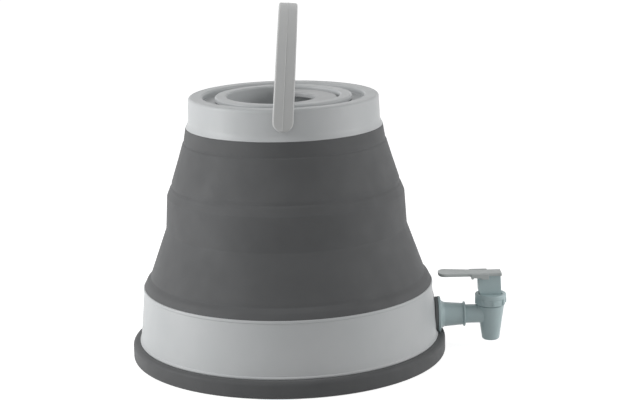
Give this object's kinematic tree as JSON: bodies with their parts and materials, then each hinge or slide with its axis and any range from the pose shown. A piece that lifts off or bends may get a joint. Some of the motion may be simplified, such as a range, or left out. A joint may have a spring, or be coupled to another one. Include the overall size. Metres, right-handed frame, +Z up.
{
  "type": "collapsible water carrier",
  "caption": "Round water carrier with a rigid tub, a folding silicone wall, a hard collar with a swinging bail, a screw lid with a fold-flat grip, and a lever tap at its base.",
  "frame": {"origin": "centre of the foot's flat underside, on the carrier's own axis", "axes": "+Z up along the carrier's axis, +X towards the tap, Y along the bail's pivot axis"},
  "size_m": [0.3241, 0.27, 0.302],
  "materials": {
    "light_plastic": "satin moulded plastic, pale grey",
    "handle_plastic": "satin moulded plastic, mid grey",
    "tap_plastic": "satin moulded plastic, grey green",
    "wall_silicone": "matt silicone, dark grey",
    "foot_rubber": "matt soft rubber, dark grey",
    "seal_rubber": "matt black rubber",
    "spring_steel": "drawn stainless wire"
  },
  "bodies": {
    "base": {"foot_pan": "foot_rubber", "base_tub": "light_plastic", "bellows": "wall_silicone", "lower_clamp_ring": "light_plastic", "tap_outer_seal": "seal_rubber", "tap_inner_seal": "seal_rubber", "tap_shank": "tap_plastic", "tap_lock_nut": "tap_plastic", "tap_stop_ring": "tap_plastic", "tap_pipe_o_ring": "seal_rubber", "tap_body": "tap_plastic", "tap_bonnet": "tap_plastic", "tap_spring": "spring_steel"},
    "top": {"collar": "light_plastic", "upper_clamp_ring": "light_plastic", "bail_pin_front": "light_plastic", "bail_pin_rear": "light_plastic"},
    "bail": {"bail_handle": "handle_plastic"},
    "lid_seal": {"lid_gasket": "seal_rubber"},
    "lid_unit": {"lid": "light_plastic", "lid_grip_pin_front": "light_plastic", "lid_grip_pin_rear": "light_plastic"},
    "grip": {"lid_grip": "light_plastic"},
    "stem": {"tap_stem": "tap_plastic", "tap_seat_cup": "seal_rubber", "tap_lever_pin": "spring_steel"},
    "lever": {"tap_lever_hub": "tap_plastic", "tap_lever_paddle": "tap_plastic", "tap_lever_clip": "tap_plastic"}
  },
  "joints": [
    {"name": "collapse", "type": "slide", "parent": "base", "child": "top", "axis": [0, 0, -1], "range_m": [0, 0.125], "deforming": ["bellows"]},
    {"name": "bail_swing", "type": "hinge", "parent": "top", "child": "bail", "pos_m": [0, 0, 0.2155], "axis": [0, 1, 0], "range_deg": [-93.8, 86.2]},
    {"name": "lid_lift", "type": "slide", "parent": "top", "child": "lid_seal", "axis": [0, 0, 1], "range_m": [0, 0.012]},
    {"name": "lid_turn", "type": "hinge", "parent": "lid_seal", "child": "lid_unit", "pos_m": [0, 0, 0.2207], "axis": [0, 0, 1], "range_deg": [0, 240]},
    {"name": "grip_flip", "type": "hinge", "parent": "lid_unit", "child": "grip", "pos_m": [0, 0, 0.22], "axis": [0, -1, 0], "range_deg": [0, 90]},
    {"name": "stem_lift", "type": "slide", "parent": "base", "child": "stem", "axis": [0, 0, 1], "range_m": [0, 0.0026], "deforming": ["tap_spring"]},
    {"name": "lever_tilt", "type": "hinge", "parent": "stem", "child": "lever", "pos_m": [0.17508, 0, 0.051], "axis": [0, -1, 0], "range_deg": [0, 20], "stiffness_Nm_per_rad": 0.08}
  ],
  "couplings": [
    {"joint": "lid_turn", "follows": "lid_lift", "rad_per_m": 349.07},
    {"joint": "lever_tilt", "follows": "stem_lift", "rad_per_m": 134.25}
  ]
}
